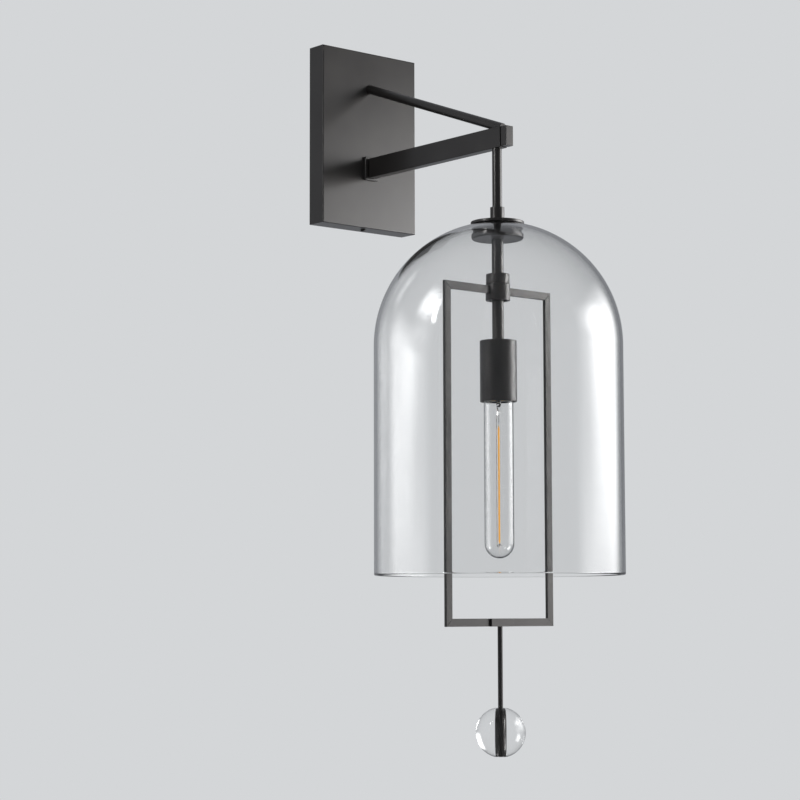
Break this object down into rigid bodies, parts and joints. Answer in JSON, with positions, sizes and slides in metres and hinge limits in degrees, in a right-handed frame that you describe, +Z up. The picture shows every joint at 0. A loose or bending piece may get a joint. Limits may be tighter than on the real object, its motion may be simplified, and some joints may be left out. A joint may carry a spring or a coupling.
{
  "type": "hanging pendant wall sconce",
  "caption": "Wall light: a box canopy with a flat arm and sloping strut hangs a clear glass bell over a tubular lamp, with a turning flat-bar frame and a crystal ball drop.",
  "frame": {"origin": "centre of the canopy's back on the wall, midway between the two bracket slots", "axes": "+Z up, +Y into the wall, -Y out from the wall along the arm, +X to the right seen from the front"},
  "size_m": [0.253, 0.3565, 0.7584],
  "materials": {
    "dark_bronze": "satin dark bronze lacquer over steel and brass",
    "zinc_steel": "bright zinc plated steel",
    "brass": "plain turned brass",
    "clear_glass": "clear blown glass with a fire polished rim",
    "crystal": "polished clear crystal",
    "silicone": "soft black silicone",
    "terminal_nylon": "moulded natural nylon",
    "brown_insulation": "smooth extruded insulation",
    "blue_insulation": "smooth extruded insulation",
    "green_insulation": "smooth extruded insulation",
    "white_ceramic": "unglazed white steatite",
    "lamp_glass": "thin clear tubular lamp glass",
    "nickel_cap": "nickel plated rolled cap",
    "lead_wire": "bare nickel wire",
    "solder": "dull tin solder",
    "black_vitrite": "glossy black glass insulator",
    "led_filament": "amber phosphor coating"
  },
  "bodies": {
    "wall_assembly": {"arm_base_plate": "dark_bronze", "arm_end_block": "dark_bronze", "arm_nut": "zinc_steel", "arm_tube": "dark_bronze", "arm_washer": "zinc_steel", "canopy_lock_screws": "dark_bronze", "canopy_shell": "dark_bronze", "cap_disc": "dark_bronze", "clamp_disc": "dark_bronze", "collar_grub_screw": "dark_bronze", "earth_lead": "green_insulation", "earth_lug": "brass", "earth_screw": "brass", "glass_shade": "clear_glass", "hub_retaining_ring": "zinc_steel", "live_lead": "brown_insulation", "lock_collar": "dark_bronze", "lower_gasket": "silicone", "lower_stem": "dark_bronze", "neutral_lead": "blue_insulation", "socket_centre_contact": "brass", "socket_cup": "dark_bronze", "socket_insert": "white_ceramic", "socket_nut": "zinc_steel", "socket_screw_shell": "brass", "socket_terminal_screws": "brass", "stem_anchor_block": "zinc_steel", "stem_collar": "dark_bronze", "strut_nut": "zinc_steel", "strut_rod": "dark_bronze", "strut_washer": "zinc_steel", "terminal_clamp_screws": "zinc_steel", "terminal_strip": "terminal_nylon", "upper_gasket": "silicone", "upper_stem": "dark_bronze", "wall_bracket": "zinc_steel"},
    "hanging_frame": {"frame_hub": "dark_bronze", "hub_grub_screw": "dark_bronze", "frame_top_bar_left": "dark_bronze", "frame_top_bar_right": "dark_bronze", "frame_upright_left": "dark_bronze", "frame_upright_right": "dark_bronze", "frame_bottom_bar_left": "dark_bronze", "frame_bottom_bar_right": "dark_bronze", "frame_bottom_block": "dark_bronze", "drop_rod": "dark_bronze", "ball_sleeve": "dark_bronze", "ball_end_nut": "dark_bronze", "crystal_ball": "crystal"},
    "lamp": {"lamp_glass": "lamp_glass", "lamp_cap": "nickel_cap", "lamp_insulator": "black_vitrite", "lamp_tip_contact": "solder", "lamp_mount": "lamp_glass", "lamp_filament": "led_filament", "lamp_support_wires": "lead_wire"}
  },
  "joints": [
    {"name": "frame_turn", "type": "hinge", "parent": "wall_assembly", "child": "hanging_frame", "pos_m": [0, -0.23, -0.1915], "axis": [0, 0, 1], "continuous": true},
    {"name": "lamp_unscrew", "type": "slide", "parent": "wall_assembly", "child": "lamp", "axis": [0, 0, -1], "range_m": [0, 0.03]}
  ]
}
